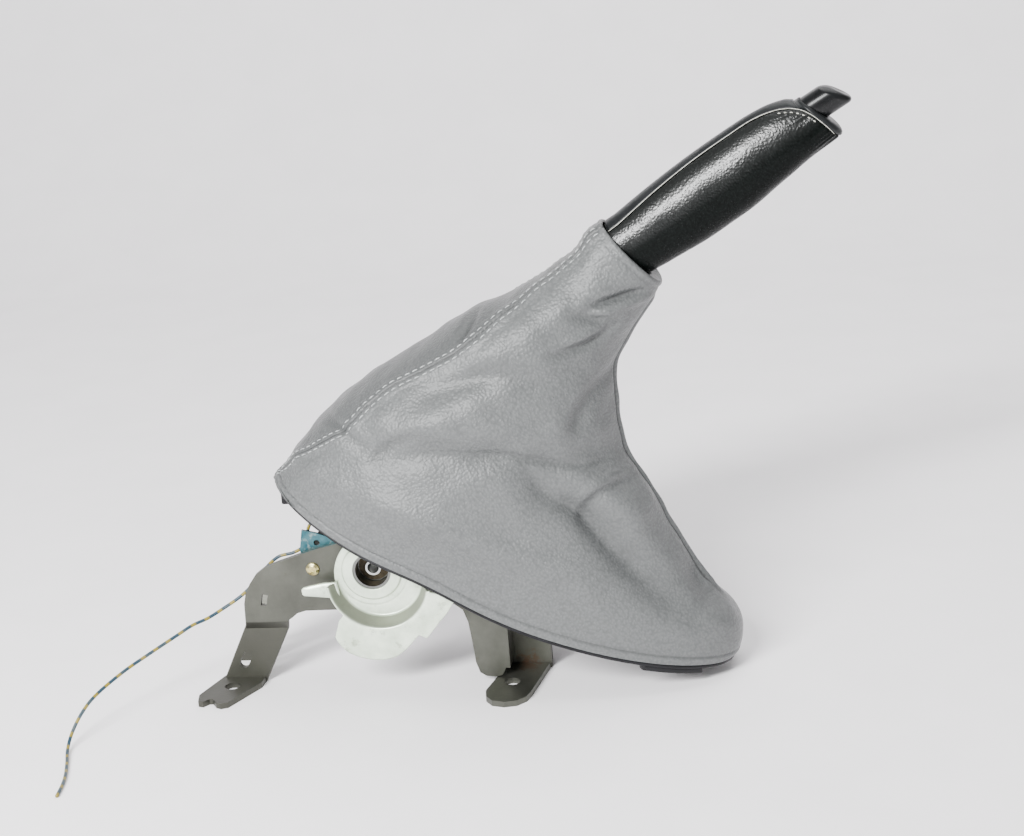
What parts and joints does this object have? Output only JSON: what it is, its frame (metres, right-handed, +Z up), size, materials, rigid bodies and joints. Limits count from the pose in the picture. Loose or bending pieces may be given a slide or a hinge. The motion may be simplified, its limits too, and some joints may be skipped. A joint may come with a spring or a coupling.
{
  "type": "parking brake lever",
  "caption": "Hand lever that cranks up from a pressed floor bracket with a cable quadrant, a soft leather boot, a leather grip and a push-button release",
  "frame": {"origin": "centre of the four floor bolts, on the floor", "axes": "+X from the pivot to the grip, +Z up from the floor, -Y to the side with the cable quadrant"},
  "size_m": [0.4352, 0.2026, 0.3222],
  "materials": {
    "bracket_steel": "grey passivated sheet steel",
    "plain_steel": "plain steel",
    "yellow_zinc": "yellow zinc",
    "dark_steel": "dark hardened steel",
    "black_plastic": "matt black moulding",
    "blue_zinc": "blue zinc",
    "wire_sleeve": "blue sleeve with yellow bands",
    "grey_leather": "soft grey grained leather",
    "white_zinc": "bright zinc",
    "brown_washer": "greasy fibre washer",
    "black_leather": "glossy black grained leather",
    "gloss_black": "smooth black moulding",
    "pale_plastic": "pale moulding"
  },
  "bodies": {
    "base": {"near_bracket": "bracket_steel", "far_bracket": "bracket_steel", "spacers": "plain_steel", "bracket_rivets": "yellow_zinc", "ratchet_sector": "dark_steel", "pivot_bushes": "black_plastic", "switch_bracket": "blue_zinc", "switch_body": "black_plastic", "signal_wire": "wire_sleeve", "boot_frame": "black_plastic", "boot": "grey_leather"},
    "lever": {"near_lever_plate": "white_zinc", "far_lever_plate": "white_zinc", "cable_quadrant": "white_zinc", "hub_cups": "white_zinc", "pivot_tube": "plain_steel", "pivot_sleeve": "plain_steel", "pivot_washer": "brown_washer", "switch_cam": "white_zinc", "lever_tube": "dark_steel", "tube_rivets": "plain_steel", "pawl_pin": "plain_steel", "grip_core": "black_plastic", "grip_leather": "black_leather", "grip_top_strip": "gloss_black", "end_bezel": "gloss_black"},
    "button": {"push_button": "gloss_black", "push_rod": "plain_steel"},
    "pawl": {"pawl": "dark_steel"},
    "plunger": {"switch_plunger": "pale_plastic"}
  },
  "joints": [
    {"name": "lever_pull", "type": "hinge", "parent": "base", "child": "lever", "pos_m": [0.007, 0, 0.073], "axis": [0, -1, 0], "range_deg": [-24, 8], "deforming": ["boot"]},
    {"name": "button_press", "type": "slide", "parent": "lever", "child": "button", "axis": [-0.8554, 0, -0.518], "range_m": [0, 0.007], "stiffness_N_per_m": 300, "springref_m": -0.01},
    {"name": "pawl_release", "type": "hinge", "parent": "lever", "child": "pawl", "pos_m": [0.038, 0, 0.12669], "axis": [0, 1, 0], "range_deg": [0, 10.1]},
    {"name": "switch_press", "type": "slide", "parent": "base", "child": "plunger", "axis": [0, 0, 1], "range_m": [0, 0.003], "stiffness_N_per_m": 150, "springref_m": -0.003}
  ],
  "couplings": [
    {"joint": "pawl_release", "follows": "button_press", "rad_per_m": 25}
  ]
}
